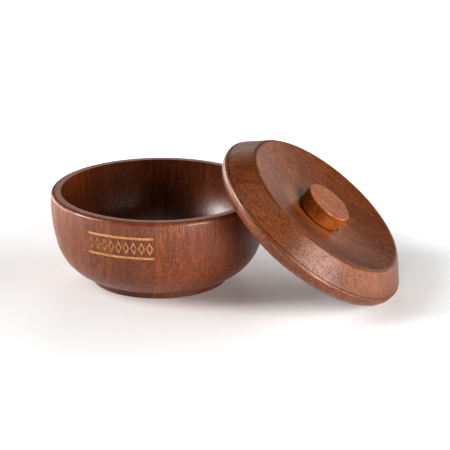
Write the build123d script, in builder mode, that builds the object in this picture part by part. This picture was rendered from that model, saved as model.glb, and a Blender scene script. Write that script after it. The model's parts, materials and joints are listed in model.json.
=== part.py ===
"""A turned wooden shaving bowl, and its lid leaning on the bowl's rim with its low edge on the table.

The bowl's blank is five upright boards glued side by side, turned as one and then cut with a shallow
engraved border. The lid is one turned disc with a locating plug under it, a dished top and a glued knob.
Millimetres. The origin is the centre of the bowl's foot, +Z is up, and +X points at the leaning lid.
"""
from build123d import *
from math import asin, cos, degrees, hypot, radians, sin
import os

os.makedirs("parts", exist_ok=True)

# Bowl
bowl_d = 110.0  # across the rim
bowl_h = 46.6
wall = 5.0
rim_round = 2.0  # outer edge of the rim
mouth_round = 0.8  # inner edge of the rim
side_r = 84.6  # the outside wall's long sweep, in section
side_z = 42.2  # height where the wall is widest
side_angle = 15.0  # degrees of long sweep below the widest height
belly_r = 24.7  # the tighter sweep down to the foot
belly_angle = 70.0
cove_r = 30.0  # the inside's sweep from its wall to its flat floor, rounder than the belly
cove_angle = 6.0  # degrees of the wall's long sweep, inside, below the widest height
foot_d = 69.4
board_w = 20.0  # width of the three inner boards of the blank
board_turn = 26.0  # the boards' width runs this many degrees from +X

# Engraved border on the wall
border_turn = -94.0  # the way it faces, in degrees from +X
border_z = 33.1
border_w = 35.0
border_gap = 10.4  # between the middles of the two rules
rule_w = 1.3
lozenges = 9
lozenge_w = 3.6  # each is a ring, with an uncut lozenge of half its size left in it
lozenge_h = 7.4
engrave_depth = 0.3

# Lid, with heights counted from the flange that sits on the rim
lid_d = 110.0
plug_clearance = 1.0  # on the radius, inside the mouth
plug_h = 2.8
plug_taper = 4.0  # how much smaller its radius is at the bottom, to lead it into the mouth
lid_edge_r = 6.8  # the round under the lid's edge
lid_edge_cut = 0.6  # how much of that round the flange's flat takes off
bevel_z = 6.9  # where the bevel starts, at the full diameter
shoulder_r = 45.0
shoulder_z = 18.1
shoulder_round = 2.6
bevel_round = 1.5
groove_in = 1.3  # a fine turned line runs round the bevel, this far up from its low corner
groove_r = 0.35
dish_z = 10.7  # lowest point of the dished top
seat_z = 10.5  # floor of the shallow round seat that the knob stands in
seat_gap = 0.7  # around the knob
knob_base_d = 23.8
knob_top_d = 24.9
knob_h = 9.5
knob_foot_bevel = 1.4
knob_edge = 0.4
dowel_d = 8.0
dowel_in_lid = 7.0
dowel_in_knob = 6.0
glue_film = 0.05

# The lid's resting place: it leans by lean_angle, touches the table and touches the rim
lean_angle = 38.6
rest_gap = 0.1

bowl_r = bowl_d / 2
foot_r = foot_d / 2
lid_r = lid_d / 2
lean_s, lean_c = sin(radians(lean_angle)), cos(radians(lean_angle))
lid_z = lid_edge_r + (lid_r - lid_edge_r) * lean_s - (lid_edge_r - lid_edge_cut) * lean_c
rim_reach = (bowl_h - rim_round - lid_z) * lean_c + rim_round + rest_gap + plug_h
lid_x = bowl_r - rim_round + rim_reach / lean_s

# Bowl section: outside, two sweeps that meet smoothly; inside, the same long sweep and a rounder cove
side_centre = (bowl_r - side_r, side_z)
belly_x = side_centre[0] + (side_r - belly_r) * cos(radians(side_angle))
belly_z = side_centre[1] - (side_r - belly_r) * sin(radians(side_angle))
cove_x = side_centre[0] + (side_r - wall - cove_r) * cos(radians(cove_angle))
cove_z = side_centre[1] - (side_r - wall - cove_r) * sin(radians(cove_angle))
floor_z = cove_z - cove_r
outer_top = degrees(asin((bowl_h - side_z) / side_r))
inner_top = degrees(asin((bowl_h - side_z) / (side_r - wall)))

with BuildPart() as border:
    border_face = Plane.XZ.rotated((0, 0, border_turn + 90)).offset(bowl_r)
    with BuildSketch(border_face):
        with Locations((0, border_z - border_gap / 2), (0, border_z + border_gap / 2)):
            Rectangle(border_w, rule_w)
        for i in range(lozenges):
            with Locations(((i - (lozenges - 1) / 2) * border_w / lozenges, border_z)):
                Polygon((lozenge_w / 2, 0), (0, lozenge_h / 2), (-lozenge_w / 2, 0), (0, -lozenge_h / 2))
                Polygon(
                    (lozenge_w / 4, 0),
                    (0, lozenge_h / 4),
                    (-lozenge_w / 4, 0),
                    (0, -lozenge_h / 4),
                    mode=Mode.SUBTRACT,
                )
    extrude(amount=-bowl_r)
    with BuildSketch(Plane.XZ):
        with BuildLine():
            outer = CenterArc(side_centre, side_r + 1, -side_angle, side_angle)
            inner = CenterArc(side_centre, side_r - engrave_depth, -side_angle, side_angle)
            Line(outer @ 0, inner @ 0)
            Line(outer @ 1, inner @ 1)
        make_face()
    revolve(axis=Axis.Z, mode=Mode.INTERSECT)

with BuildPart() as bowl:
    with BuildSketch(Plane.XZ) as bowl_section:
        with BuildLine():
            side = CenterArc(side_centre, side_r, -side_angle, side_angle + outer_top)
            belly = CenterArc((belly_x, belly_z), belly_r, -belly_angle, belly_angle - side_angle)
            inside = CenterArc(side_centre, side_r - wall, -cove_angle, cove_angle + inner_top)
            cove = CenterArc((cove_x, cove_z), cove_r, -90, 90 - cove_angle)
            Polyline(belly @ 0, (foot_r, (belly @ 0).Y), (foot_r, 0), (0, 0), (0, floor_z), cove @ 0)
            Line(side @ 1, inside @ 1)
        make_face()
        rim_corners = bowl_section.vertices().group_by(Axis.Y)[-1].sort_by(Axis.X)
        fillet(rim_corners[-1], rim_round)
        fillet(rim_corners[0], mouth_round)
    revolve(axis=Axis.Z)
    add(border.part, mode=Mode.SUBTRACT)

# The bowl is cut along its glue lines: three boards of one width, and two outer boards for the sides
board_x, board_y = cos(radians(board_turn)), sin(radians(board_turn))
side_w = bowl_r - 1.5 * board_w + 1  # reaches just past the rim
side_x = 1.5 * board_w + side_w / 2

with BuildPart() as board_middle:
    add(bowl.part)
    with Locations(Location((0, 0, bowl_h / 2), (0, 0, board_turn))):
        Box(board_w, 2 * bowl_d, 2 * bowl_h, mode=Mode.INTERSECT)

with BuildPart() as board_left:
    add(bowl.part)
    with Locations(Location((-board_w * board_x, -board_w * board_y, bowl_h / 2), (0, 0, board_turn))):
        Box(board_w, 2 * bowl_d, 2 * bowl_h, mode=Mode.INTERSECT)

with BuildPart() as board_right:
    add(bowl.part)
    with Locations(Location((board_w * board_x, board_w * board_y, bowl_h / 2), (0, 0, board_turn))):
        Box(board_w, 2 * bowl_d, 2 * bowl_h, mode=Mode.INTERSECT)

with BuildPart() as board_left_side:
    add(bowl.part)
    with Locations(Location((-side_x * board_x, -side_x * board_y, bowl_h / 2), (0, 0, board_turn))):
        Box(side_w, 2 * bowl_d, 2 * bowl_h, mode=Mode.INTERSECT)

with BuildPart() as board_right_side:
    add(bowl.part)
    with Locations(Location((side_x * board_x, side_x * board_y, bowl_h / 2), (0, 0, board_turn))):
        Box(side_w, 2 * bowl_d, 2 * bowl_h, mode=Mode.INTERSECT)

# Lid parts share one leaning frame: its origin is the flange's centre and its normal is the turning axis
lid_plane = Plane(origin=(lid_x, 0, lid_z), x_dir=(lean_c, 0, -lean_s), z_dir=(lean_s, 0, lean_c))
lid_section = Plane(origin=(lid_x, 0, lid_z), x_dir=(lean_c, 0, -lean_s), z_dir=(0, -1, 0))
lid_axis = Axis((lid_x, 0, lid_z), (lean_s, 0, lean_c))
plug_r = bowl_r - wall - plug_clearance
edge_centre = (lid_r - lid_edge_r, lid_edge_r - lid_edge_cut)
edge_start = degrees(asin((lid_edge_r - lid_edge_cut) / lid_edge_r))
groove_part = groove_in / hypot(lid_r - shoulder_r, shoulder_z - bevel_z)
groove_x = lid_r - groove_part * (lid_r - shoulder_r)
groove_z = bevel_z + groove_part * (shoulder_z - bevel_z)

with BuildPart() as lid_plate:
    with BuildSketch(lid_section) as plate_section:
        with BuildLine():
            edge = CenterArc(edge_centre, lid_edge_r, -edge_start, edge_start)
            Polyline(edge @ 1, (lid_r, bevel_z), (shoulder_r, shoulder_z))
            dish = ThreePointArc(
                (shoulder_r, shoulder_z), (shoulder_r / 2, dish_z + (shoulder_z - dish_z) / 4), (0, dish_z)
            )
            Polyline(dish @ 1, (0, -plug_h), (plug_r - plug_taper, -plug_h), (plug_r, 0), edge @ 0)
        make_face()
        fillet(plate_section.vertices().sort_by_distance((shoulder_r, shoulder_z))[0], shoulder_round)
        fillet(plate_section.vertices().sort_by_distance((lid_r, bevel_z))[0], bevel_round)
        with Locations((groove_x, groove_z)):
            Circle(groove_r, mode=Mode.SUBTRACT)
    revolve(axis=lid_axis)
    with BuildSketch(lid_plane.offset(seat_z)):
        Circle(knob_base_d / 2 + seat_gap)
    extrude(amount=1, mode=Mode.SUBTRACT)
    with BuildSketch(lid_plane.offset(seat_z - dowel_in_lid)):
        Circle(dowel_d / 2 + glue_film)
    extrude(amount=dowel_in_lid, mode=Mode.SUBTRACT)

with BuildPart() as lid_knob:
    with BuildSketch(lid_section):
        with BuildLine():
            foot_in = knob_base_d / 2 - knob_foot_bevel
            Polyline(
                (dowel_d / 2 + glue_film, seat_z),
                (foot_in, seat_z),
                (knob_base_d / 2, seat_z + knob_foot_bevel),
                (knob_top_d / 2, seat_z + knob_h - knob_edge),
                (knob_top_d / 2 - knob_edge, seat_z + knob_h),
                (0, seat_z + knob_h),
                (0, seat_z + dowel_in_knob),
                (dowel_d / 2 + glue_film, seat_z + dowel_in_knob),
                close=True,
            )
        make_face()
    revolve(axis=lid_axis)

with BuildPart() as knob_dowel:
    with BuildSketch(lid_plane.offset(seat_z - dowel_in_lid)):
        Circle(dowel_d / 2)
    extrude(amount=dowel_in_lid + dowel_in_knob)

board_middle.part.label = "board_middle"
board_left.part.label = "board_left"
board_right.part.label = "board_right"
board_left_side.part.label = "board_left_side"
board_right_side.part.label = "board_right_side"
lid_plate.part.label = "lid_plate"
lid_knob.part.label = "lid_knob"
knob_dowel.part.label = "knob_dowel"

for piece in (
    board_middle,
    board_left,
    board_right,
    board_left_side,
    board_right_side,
    lid_plate,
    lid_knob,
    knob_dowel,
):
    export_step(piece.part, f"parts/{piece.part.label}.step")
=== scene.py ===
"""Looks for a turned wooden shaving bowl and its leaning lid: stained, lacquered wood in a pale studio."""
import json
from math import cos, pi, radians, sin

import bpy
from mathutils import Matrix, Vector


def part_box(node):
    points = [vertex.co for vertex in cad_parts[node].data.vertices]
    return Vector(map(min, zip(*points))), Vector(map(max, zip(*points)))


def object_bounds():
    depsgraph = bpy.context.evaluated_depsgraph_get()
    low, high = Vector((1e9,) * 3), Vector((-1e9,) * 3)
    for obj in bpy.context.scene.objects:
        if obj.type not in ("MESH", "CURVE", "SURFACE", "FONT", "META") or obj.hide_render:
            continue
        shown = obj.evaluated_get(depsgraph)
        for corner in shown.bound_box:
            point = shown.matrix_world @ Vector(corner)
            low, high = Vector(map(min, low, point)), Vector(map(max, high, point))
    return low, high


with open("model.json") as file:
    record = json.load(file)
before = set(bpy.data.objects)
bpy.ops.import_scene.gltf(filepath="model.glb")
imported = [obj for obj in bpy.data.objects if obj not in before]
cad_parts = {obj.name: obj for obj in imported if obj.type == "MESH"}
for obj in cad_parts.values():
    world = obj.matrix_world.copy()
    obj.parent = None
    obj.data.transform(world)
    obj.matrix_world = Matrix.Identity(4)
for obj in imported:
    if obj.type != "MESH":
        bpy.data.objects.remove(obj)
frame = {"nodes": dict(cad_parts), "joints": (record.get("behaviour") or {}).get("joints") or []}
cad_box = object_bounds()
nodes = frame["nodes"]
MM = 0.001

# ---------------------------------------------------------------- places worked out from the frame
BOARDS = ["board_left_side", "board_left", "board_middle", "board_right", "board_right_side"]
lift = next(joint for joint in frame["joints"] if joint["name"] == "lid_lift")
lid_axis = Vector(lift["axis"]).normalized()
dowel_low, dowel_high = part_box("knob_dowel")
lid_centre = (dowel_low + dowel_high) / 2

# The lid's fibres run straight down its slope: its grain frame has Y on the lid's axis and Z down the slope
down_slope = Vector((lid_axis.z, 0, -lid_axis.x))
lid_turn = Matrix((lid_axis.cross(down_slope), lid_axis, down_slope)).transposed().to_euler()

# The bowl's boards stand upright, side by side along a line turned this far from +X
BOARD_WIDTH = 20.0
BOARD_TURN = radians(26)

# The bowl's outside wall in section, in millimetres: one long arc, widest at this height
WALL_RADIUS = 55.0
WALL_SWEEP = 84.6
WALL_WIDEST = 42.2
BORDER_LOW, BORDER_HIGH = 26.0, 40.0  # the engraved border lies between these heights
FOOT_TOP = 4.5
KNOB_EDGE = 13.0  # just outside the knob, from the lid's middle
# outer edge of the painted reflection of the knob on the lid's top
REFLECTION_EDGE = 27.0
DISH_BOTTOM = -2.0  # just under the lid's dished top, from the dowel's middle


# ---------------------------------------------------------------- node helpers
class Shader:
    """A material whose nodes are added by short calls."""

    def __init__(self, name):
        self.material = bpy.data.materials.new(name)
        self.material.use_nodes = True
        self.tree = self.material.node_tree
        self.surface = self.tree.nodes["Principled BSDF"].inputs

    def node(self, kind, inputs=None, **settings):
        n = self.tree.nodes.new(kind)
        for key, value in settings.items():
            setattr(n, key, value)
        for key, value in (inputs or {}).items():
            self.feed(n.inputs[key], value)
        return n

    def feed(self, socket, value):
        if isinstance(value, bpy.types.NodeSocket):
            self.tree.links.new(value, socket)
        else:
            socket.default_value = value

    def math(self, operation, a, b=0.0, c=0.0):
        return self.node("ShaderNodeMath", {0: a, 1: b, 2: c}, operation=operation).outputs[0]

    def add(self, a, b):
        return self.math("ADD", a, b)

    def times(self, a, b):
        return self.math("MULTIPLY", a, b)

    def ramp(self, value, low, high, start=0.0, end=1.0):
        """Goes smoothly from start to end as value goes from low to high."""
        inputs = {0: value, 1: low, 2: high, 3: start, 4: end}
        return self.node("ShaderNodeMapRange", inputs, interpolation_type="SMOOTHSTEP").outputs[0]

    def mix(self, factor, a, b, blend="MIX"):
        inputs = {0: factor, 6: a, 7: b}
        return self.node("ShaderNodeMix", inputs, data_type="RGBA", blend_type=blend).outputs[2]

    def noise(self, vector, size, detail=3.0, rough=0.5, distortion=0.0):
        """Noise whose features have this size, in millimetres, along each axis."""
        inputs = {
            "Vector": self.stretch(vector, size),
            "Scale": 1.0,
            "Detail": detail,
            "Roughness": rough,
            "Distortion": distortion,
        }
        return self.node("ShaderNodeTexNoise", inputs).outputs[0]

    def cells(self, vector, size):
        inputs = {"Vector": self.stretch(vector, size), "Scale": 1.0, "Randomness": 1.0}
        return self.node("ShaderNodeTexVoronoi", inputs).outputs

    def stretch(self, vector, size):
        factor = [1 / s for s in size]
        return self.node("ShaderNodeMapping", {0: vector, 3: factor}, vector_type="POINT").outputs[0]

    def place(self, origin, turn):
        """Object coordinates, in millimetres, in a frame with this origin and these turns."""
        coords = self.node("ShaderNodeTexCoord").outputs["Object"]
        inputs = {0: coords, 1: origin, 2: turn}
        local = self.node("ShaderNodeMapping", inputs, vector_type="TEXTURE").outputs[0]
        return self.node("ShaderNodeVectorMath", {0: local, "Scale": 1 / MM}, operation="SCALE").outputs[0]


# ---------------------------------------------------------------- wood, with colours in linear light
PALE = (0.290, 0.084, 0.014, 1)
MIDDLE = (0.185, 0.044, 0.007, 1)
DEEP = (0.080, 0.014, 0.004, 1)
PORE = (0.030, 0.009, 0.005, 1)
FLECK = (0.420, 0.190, 0.090, 1)
# the next colour is a painted reflection of the knob's lit side, on the lid's top around the knob
REFLECTION_ORANGE = (0.400, 0.140, 0.014, 1)
CUT = (0.640, 0.350, 0.140, 1)
CUT_DARK = (0.340, 0.165, 0.060, 1)
LACQUER = 0.30  # share of the surface that has a clear coat over the satin stain
LACQUER_ROUGHNESS = 0.26
WOOD_IOR = 1.52


def stained_wood(name, origin, turn, tint, pore_share, fleck=0.0):
    """Stained wood with its fibres along the frame's Z axis. Gives the parts that finish_wood joins up."""
    s = Shader(name)
    p = s.place(origin, turn)
    drift = s.noise(p, (16, 16, 45), detail=2)
    bands = s.noise(p, (2.2, 6.0, 70), detail=3, rough=0.6, distortion=0.4)
    streaks = s.noise(p, (0.75, 0.75, 12), detail=3, rough=0.6)
    specks = s.noise(p, (0.65, 0.65, 1.2), detail=2, rough=0.6)
    pores = s.cells(p, (0.7, 0.7, 1.7))
    pore_here = s.ramp(pores["Distance"], 0.16, 0.34, 1.0, 0.0)
    pore_kept = s.ramp(pores["Color"], 1.0 - pore_share, 1.02 - pore_share)
    pore = s.times(pore_here, pore_kept)

    colour = s.mix(s.ramp(bands, 0.32, 0.68), DEEP, PALE)
    colour = s.mix(0.55, colour, MIDDLE)
    colour = s.mix(s.ramp(drift, 0.35, 0.75, 0.0, 0.35), colour, DEEP)
    colour = s.mix(s.ramp(streaks, 0.47, 0.70, 0.0, 0.75), colour, DEEP)
    colour = s.mix(s.ramp(streaks, 0.50, 0.30, 0.0, 0.60), colour, PALE)
    colour = s.mix(s.ramp(specks, 0.52, 0.68, 0.0, 0.60), colour, PALE)
    colour = s.mix(s.ramp(specks, 0.48, 0.32, 0.0, 0.60), colour, DEEP)
    colour = s.mix(1.0, colour, tint, "MULTIPLY")
    colour = s.mix(s.times(pore, 0.6), colour, PORE)
    if fleck:
        flecks = s.noise(p, (0.7, 0.7, 1.0), detail=3, rough=0.7)
        patches = s.noise(p, (9, 9, 9), detail=1)
        worn = s.times(s.ramp(flecks, 0.56, 0.68), s.ramp(patches, 0.42, 0.62))
        colour = s.mix(s.times(worn, fleck), colour, FLECK)

    rough = s.ramp(streaks, 0.3, 0.7, 0.38, 0.44)
    rough = s.add(rough, s.times(pore, 0.3))
    relief = s.add(s.times(streaks, 0.035), s.times(specks, 0.045))
    relief = s.math("SUBTRACT", relief, s.times(pore, 0.10))
    return s, p, colour, rough, relief


def finish_wood(s, colour, rough, relief, lacquer=0.0):
    s.feed(s.surface["Base Color"], colour)
    s.feed(s.surface["Roughness"], rough)
    s.surface["IOR"].default_value = WOOD_IOR
    s.surface["Coat Weight"].default_value = lacquer
    s.surface["Coat Roughness"].default_value = LACQUER_ROUGHNESS
    bump = s.node("ShaderNodeBump", {"Strength": 1.0, "Distance": MM, "Height": relief})
    s.feed(s.surface["Normal"], bump.outputs[0])
    s.feed(s.surface["Coat Normal"], bump.outputs[0])
    return s.material


def bowl_wood():
    turn = (0, 0, BOARD_TURN)
    s, p, colour, rough, relief = stained_wood("bowl_wood", (0, 0, 0), turn, (1.12, 1.10, 1.05, 1), 0.25)
    x, y, z = s.node("ShaderNodeSeparateXYZ", {0: p}).outputs
    # Each board has its own tone, and a hairline of glue darkens the joints
    board = s.math("FLOOR", s.math("DIVIDE", s.add(x, BOARD_WIDTH / 2), BOARD_WIDTH))
    board = s.math("MAXIMUM", s.math("MINIMUM", board, 2.0), -2.0)
    tone = s.math("SINE", s.add(s.times(board, 2.3), 1.2))
    colour = s.mix(s.ramp(tone, -1.0, 1.0, 0.32, 0.0), colour, DEEP)
    joint = s.math("ABSOLUTE", s.math("SUBTRACT", s.math("ABSOLUTE", x), BOARD_WIDTH))
    joint = s.math("ABSOLUTE", s.math("SUBTRACT", joint, BOARD_WIDTH / 2))
    colour = s.mix(s.ramp(joint, 0.05, 0.20, 0.35, 0.0), colour, PORE)
    # Painted shade: darker on the foot, low down where the bowl stands on the floor
    colour = s.mix(s.ramp(z, FOOT_TOP - 2.0, FOOT_TOP, 0.45, 0.0), colour, DEEP)
    # The engraved border shows bare wood wherever the surface lies below the wall's sweep
    radius = s.math("SQRT", s.add(s.times(x, x), s.times(y, y)))
    fall = s.math("SUBTRACT", z, WALL_WIDEST)
    sweep = s.math("SQRT", s.math("SUBTRACT", WALL_SWEEP**2, s.times(fall, fall)))
    depth = s.math("SUBTRACT", s.add(sweep, WALL_RADIUS - WALL_SWEEP), radius)
    cut = s.times(s.ramp(depth, 0.08, 0.16), s.ramp(depth, 0.6, 0.8, 1.0, 0.0))
    cut = s.times(cut, s.math("GREATER_THAN", z, BORDER_LOW))
    cut = s.times(cut, s.math("LESS_THAN", z, BORDER_HIGH))
    burr = s.noise(p, (0.5, 0.5, 0.7), detail=2, rough=0.6)
    colour = s.mix(cut, colour, s.mix(s.ramp(burr, 0.40, 0.62), CUT, CUT_DARK))
    rough = s.add(rough, s.times(cut, 0.3))
    return finish_wood(s, colour, rough, relief, LACQUER)


def lid_wood():
    tint = (1, 1.05, 1, 1)
    s, p, colour, rough, relief = stained_wood("lid_wood", lid_centre, lid_turn, tint, 0.7, fleck=0.6)
    # Painted reflection: on top, around the knob, the dish is painted more orange in patches, standing in
    # for the glossy dish mirroring the knob's lit side
    x, y, z = s.node("ShaderNodeSeparateXYZ", {0: p}).outputs
    out = s.math("SQRT", s.add(s.times(x, x), s.times(z, z)))
    reflection_patches = s.noise(p, (5, 5, 12), detail=3, rough=0.6)
    painted_reflection = s.times(s.ramp(out, KNOB_EDGE, REFLECTION_EDGE, 0.75, 0.0), s.ramp(reflection_patches, 0.35, 0.60))
    painted_reflection = s.times(painted_reflection, s.ramp(y, DISH_BOTTOM, 0.0))
    colour = s.mix(painted_reflection, colour, REFLECTION_ORANGE)
    return finish_wood(s, colour, rough, relief, LACQUER)


def knob_wood():
    tint = (1.7, 1.85, 0.9, 1)
    s, p, colour, rough, relief = stained_wood("knob_wood", lid_centre, lid_turn, tint, 0.2, fleck=0.3)
    return finish_wood(s, colour, rough, relief, LACQUER)


def dowel_wood():
    """Plain beech, with no stain or lacquer, its fibres along the lid's axis."""
    s = Shader("dowel_wood")
    p = s.place(lid_centre, lid_turn)
    streaks = s.noise(p, (0.4, 8, 0.4), detail=3, rough=0.6)
    flakes = s.cells(p, (0.5, 1.6, 0.5))["Distance"]
    colour = s.mix(s.ramp(streaks, 0.35, 0.65), (0.52, 0.33, 0.18, 1), (0.66, 0.46, 0.28, 1))
    colour = s.mix(s.ramp(flakes, 0.1, 0.3, 0.5, 0.0), colour, (0.34, 0.19, 0.10, 1))
    return finish_wood(s, colour, s.ramp(streaks, 0.3, 0.7, 0.6, 0.7), s.times(streaks, 0.04))


def wear(node, material):
    nodes[node].data.materials.clear()
    nodes[node].data.materials.append(material)


board_material = bowl_wood()
for board_name in BOARDS:
    wear(board_name, board_material)
wear("lid_plate", lid_wood())
wear("lid_knob", knob_wood())
wear("knob_dowel", dowel_wood())

# ---------------------------------------------------------------- floor and backdrop
FLOOR_SIZE = 8.0
LIT_RADIUS = 0.11  # nearer the bowl than this, the lamps do nearly all the lighting
GLOW_RADIUS = 0.30  # further out than this, the paper glows evenly to stay white
GLOW_NEAR, GLOW_FAR = 0.03, 0.5
PAPER_WHITE = 0.9

bpy.ops.mesh.primitive_plane_add(size=FLOOR_SIZE, location=(0, 0, cad_box[0][2]))
floor = bpy.context.object
floor.name = "studio_floor"
paper = Shader("studio_paper")
paper.surface["Base Color"].default_value = (PAPER_WHITE, PAPER_WHITE, PAPER_WHITE, 1)
paper.surface["Roughness"].default_value = 0.7
paper.surface["Emission Color"].default_value = (1, 1, 1, 1)
on_paper = paper.node("ShaderNodeTexCoord").outputs["Object"]
around = paper.node("ShaderNodeVectorMath", {0: on_paper}, operation="LENGTH").outputs["Value"]
glow = paper.ramp(around, LIT_RADIUS, GLOW_RADIUS, GLOW_NEAR, GLOW_FAR)
paper.feed(paper.surface["Emission Strength"], glow)
floor.data.materials.append(paper.material)

# The backdrop is white to the camera and casts no light
world = bpy.data.worlds.new("studio")
world.use_nodes = True
bpy.context.scene.world = world
background = world.node_tree.nodes["Background"]
background.inputs["Color"].default_value = (1, 1, 1, 1)
seen = world.node_tree.nodes.new("ShaderNodeLightPath").outputs["Is Camera Ray"]
world.node_tree.links.new(seen, background.inputs["Strength"])

# ---------------------------------------------------------------- camera
CAMERA_TURN = radians(15.83)
CAMERA_DOWN = radians(18.95)
CAMERA_PLACE = (0.3225, -1.0143, 0.3923)
camera_data = bpy.data.cameras.new("camera")
camera_data.sensor_width = 36
camera_data.lens = 176
camera = bpy.data.objects.new("camera", camera_data)
camera.location = CAMERA_PLACE
camera.rotation_euler = (pi / 2 - CAMERA_DOWN, 0, CAMERA_TURN)
bpy.context.scene.collection.objects.link(camera)
bpy.context.scene.camera = camera

# ---------------------------------------------------------------- lamps, in separate sets for floor and wood
TARGET = Vector((0.02, 0, 0.025))
floor_alone = bpy.data.collections.new("floor_alone")
floor_alone.objects.link(floor)
wood_alone = bpy.data.collections.new("wood_alone")
for piece in nodes.values():
    wood_alone.objects.link(piece)


def softbox(name, turn, height, size, power, lights):
    """A lamp one metre from the bowl that lights one collection.

    turn and height are its direction in degrees: to the right of the camera's, and above the floor.
    """
    data = bpy.data.lights.new(name, "AREA")
    data.shape = "RECTANGLE"
    data.size, data.size_y = size
    data.energy = power
    heading = CAMERA_TURN + radians(turn) - pi / 2
    rise = radians(height)
    out = Vector((cos(heading) * cos(rise), sin(heading) * cos(rise), sin(rise)))
    lamp = bpy.data.objects.new(name, data)
    lamp.location = TARGET + out
    lamp.rotation_euler = out.to_track_quat("Z", "Y").to_euler()
    lamp.visible_camera = False
    lamp.light_linking.receiver_collection = lights
    bpy.context.scene.collection.objects.link(lamp)


softbox("right_low", 42, 6, (0.50, 0.18), 4.3, wood_alone)
softbox("right_high", 50, 27, (0.60, 0.30), 2.4, wood_alone)
softbox("left_high", -90, 25, (0.42, 0.28), 6.2, wood_alone)
softbox("left_low", -128, 6, (0.75, 0.18), 1.5, wood_alone)
softbox("above", 0, 80, (0.60, 0.60), 0.5, wood_alone)
softbox("back", 180, 24, (0.40, 0.40), 0.4, wood_alone)
softbox("back_right", 138, 14, (0.60, 0.40), 0.4, wood_alone)
softbox("floor_right", 88, 6, (1.00, 0.18), 16.5, floor_alone)
softbox("floor_left", -90, 6, (0.36, 0.18), 8.5, floor_alone)
softbox("floor_left_high", -80, 32, (0.36, 0.60), 3.2, floor_alone)
softbox("floor_front", 0, 6, (0.36, 0.18), 5.0, floor_alone)
softbox("floor_back", 180, 20, (0.40, 0.25), 0.8, floor_alone)

# ---------------------------------------------------------------- print: bright and a little contrasty
view = bpy.context.scene.view_settings
view.view_transform = "Standard"
view.look = "None"
view.exposure = 1.0
view.gamma = 0.8
